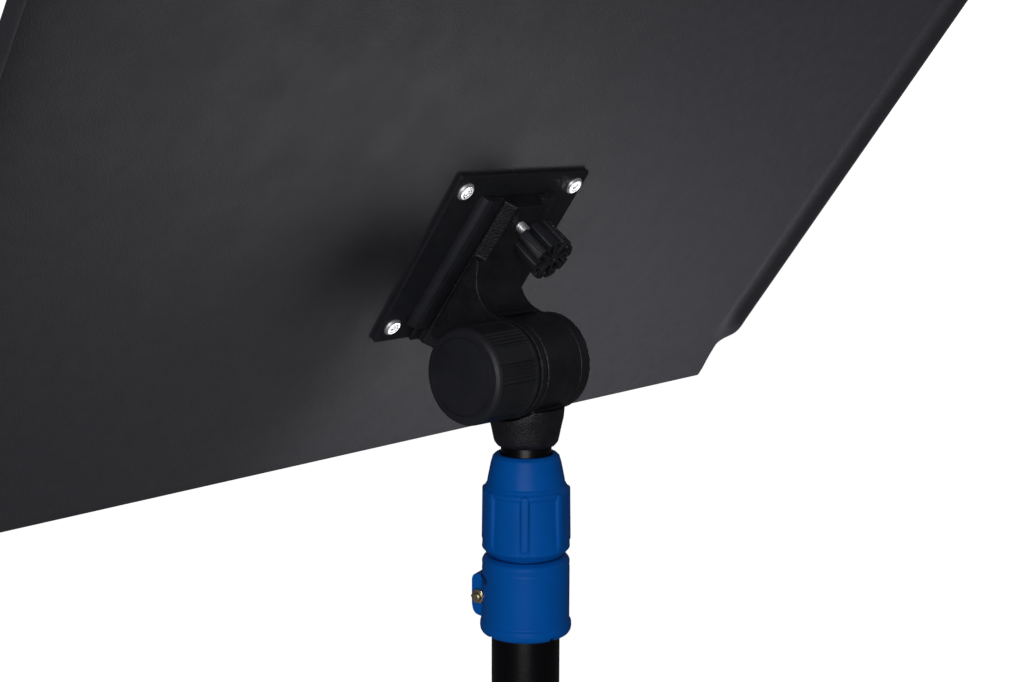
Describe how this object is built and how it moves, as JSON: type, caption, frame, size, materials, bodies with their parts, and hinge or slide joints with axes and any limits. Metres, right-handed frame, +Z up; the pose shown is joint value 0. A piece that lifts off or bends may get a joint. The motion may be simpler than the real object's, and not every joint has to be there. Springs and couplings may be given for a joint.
{
  "type": "music stand",
  "caption": "Folding tripod music stand with a height-adjustable swivelling column and a solid sheet-metal desk that tilts on a clamp hinge and lifts off a tapered slide.",
  "frame": {"origin": "on the floor at the column's axis, with the column lowered and the legs open", "axes": "+Z up, +X to the right of a reader who stands at -Y facing +Y; the desk's back faces +Y and down"},
  "size_m": [0.5534, 0.4588, 0.9536],
  "materials": {
    "desk_coat": "fine matt textured powder coat",
    "plate_coat": "satin textured powder coat",
    "cast_coat": "semi-gloss coat over cast metal",
    "tube_coat": "gloss powder coat",
    "knob_plastic": "moulded matt plastic",
    "joint_plastic": "glass-filled moulded plastic",
    "friction_material": "matt",
    "clutch_plastic": "satin moulded plastic",
    "zinc": "bright zinc plate",
    "yellow_zinc": "yellow zinc plate",
    "foot_rubber": "matt rubber"
  },
  "bodies": {
    "base_column": {"lower_tube": "tube_coat", "lower_collar": "clutch_plastic", "collar_bolt": "yellow_zinc", "collar_nut": "yellow_zinc", "collet": "joint_plastic", "bottom_hub": "joint_plastic", "hub_pins": "zinc", "base_cap": "joint_plastic"},
    "tube_guide": {"guide_bush": "joint_plastic"},
    "upper_column": {"upper_tube": "tube_coat", "tube_plug": "joint_plastic", "bush_clip": "zinc", "tilt_socket": "cast_coat", "socket_screw": "zinc", "friction_disc_left": "friction_material", "friction_disc_right": "friction_material"},
    "tilt_arm": {"slider_arm": "cast_coat", "clamp_bolt": "zinc"},
    "clamp_knob": {"tilt_knob": "knob_plastic", "tilt_knob_cap": "knob_plastic", "knob_insert": "yellow_zinc", "clamp_washer": "friction_material"},
    "desk": {"desk_panel": "desk_coat", "mounting_plate": "plate_coat", "plate_screws": "zinc", "panel_nuts": "plate_coat", "rail_left": "plate_coat", "rail_right": "plate_coat"},
    "thumb_screw": {"thumb_stud": "zinc", "thumb_knob": "knob_plastic"},
    "clutch": {"clutch_nut": "clutch_plastic"},
    "spider": {"leg_spider": "joint_plastic", "spider_pins": "zinc"},
    "spider_lock": {"lock_stud": "zinc", "lock_knob": "knob_plastic"},
    "leg_1": {"leg_tube_1": "tube_coat", "leg_head_1": "joint_plastic", "foot_1": "foot_rubber"},
    "strut_1": {"strut_1": "tube_coat", "strut_rivets_1": "zinc"},
    "leg_2": {"leg_tube_2": "tube_coat", "leg_head_2": "joint_plastic", "foot_2": "foot_rubber"},
    "strut_2": {"strut_2": "tube_coat", "strut_rivets_2": "zinc"},
    "leg_3": {"leg_tube_3": "tube_coat", "leg_head_3": "joint_plastic", "foot_3": "foot_rubber"},
    "strut_3": {"strut_3": "tube_coat", "strut_rivets_3": "zinc"}
  },
  "joints": [
    {"name": "column_height", "type": "slide", "parent": "base_column", "child": "tube_guide", "axis": [0, 0, 1], "range_m": [0, 0.43]},
    {"name": "column_swivel", "type": "hinge", "parent": "tube_guide", "child": "upper_column", "pos_m": [0, 0, 0.11], "axis": [0, 0, 1], "continuous": true},
    {"name": "desk_tilt", "type": "hinge", "parent": "upper_column", "child": "tilt_arm", "pos_m": [0, 0, 0.72], "axis": [-1, 0, 0], "range_deg": [-36, 54]},
    {"name": "tilt_knob_turn", "type": "hinge", "parent": "tilt_arm", "child": "clamp_knob", "pos_m": [0.027, 0, 0.72], "axis": [1, 0, 0], "range_deg": [-180, 0]},
    {"name": "desk_lift", "type": "slide", "parent": "tilt_arm", "child": "desk", "axis": [0, 0.5878, 0.809], "range_m": [0, 0.08]},
    {"name": "thumb_screw_turn", "type": "hinge", "parent": "tilt_arm", "child": "thumb_screw", "pos_m": [0, -0.00431, 0.77974], "axis": [0, 0.809, -0.5878], "range_deg": [0, 360]},
    {"name": "clutch_turn", "type": "hinge", "parent": "base_column", "child": "clutch", "pos_m": [0, 0, 0.66], "axis": [0, 0, 1], "range_deg": [0, 180]},
    {"name": "base_fold", "type": "slide", "parent": "base_column", "child": "spider", "axis": [0, 0, 1], "range_m": [0, 0.0989]},
    {"name": "spider_lock_turn", "type": "hinge", "parent": "spider", "child": "spider_lock", "pos_m": [0.018, 0.03118, 0.129], "axis": [0.5, 0.866, 0], "range_deg": [0, 360]},
    {"name": "leg_1_fold", "type": "hinge", "parent": "spider", "child": "leg_1", "pos_m": [0.03, 0, 0.127], "axis": [0, 1, 0], "range_deg": [0, 54.01]},
    {"name": "strut_1_fold", "type": "hinge", "parent": "base_column", "child": "strut_1", "pos_m": [0.03, 0, 0.027], "axis": [0, -1, 0], "range_deg": [0, 54.01]},
    {"name": "leg_2_fold", "type": "hinge", "parent": "spider", "child": "leg_2", "pos_m": [-0.015, 0.02598, 0.127], "axis": [-0.866, -0.5, 0], "range_deg": [0, 54.01]},
    {"name": "strut_2_fold", "type": "hinge", "parent": "base_column", "child": "strut_2", "pos_m": [-0.015, 0.02598, 0.027], "axis": [0.866, 0.5, 0], "range_deg": [0, 54.01]},
    {"name": "leg_3_fold", "type": "hinge", "parent": "spider", "child": "leg_3", "pos_m": [-0.015, -0.02598, 0.127], "axis": [0.866, -0.5, 0], "range_deg": [0, 54.01]},
    {"name": "strut_3_fold", "type": "hinge", "parent": "base_column", "child": "strut_3", "pos_m": [-0.015, -0.02598, 0.027], "axis": [-0.866, 0.5, 0], "range_deg": [0, 54.01]}
  ],
  "couplings": [
    {"joint": "leg_1_fold", "follows": "base_fold", "rad_per_m": 9.5296},
    {"joint": "strut_1_fold", "follows": "base_fold", "rad_per_m": 9.5296},
    {"joint": "leg_2_fold", "follows": "base_fold", "rad_per_m": 9.5296},
    {"joint": "strut_2_fold", "follows": "base_fold", "rad_per_m": 9.5296},
    {"joint": "leg_3_fold", "follows": "base_fold", "rad_per_m": 9.5296},
    {"joint": "strut_3_fold", "follows": "base_fold", "rad_per_m": 9.5296}
  ]
}
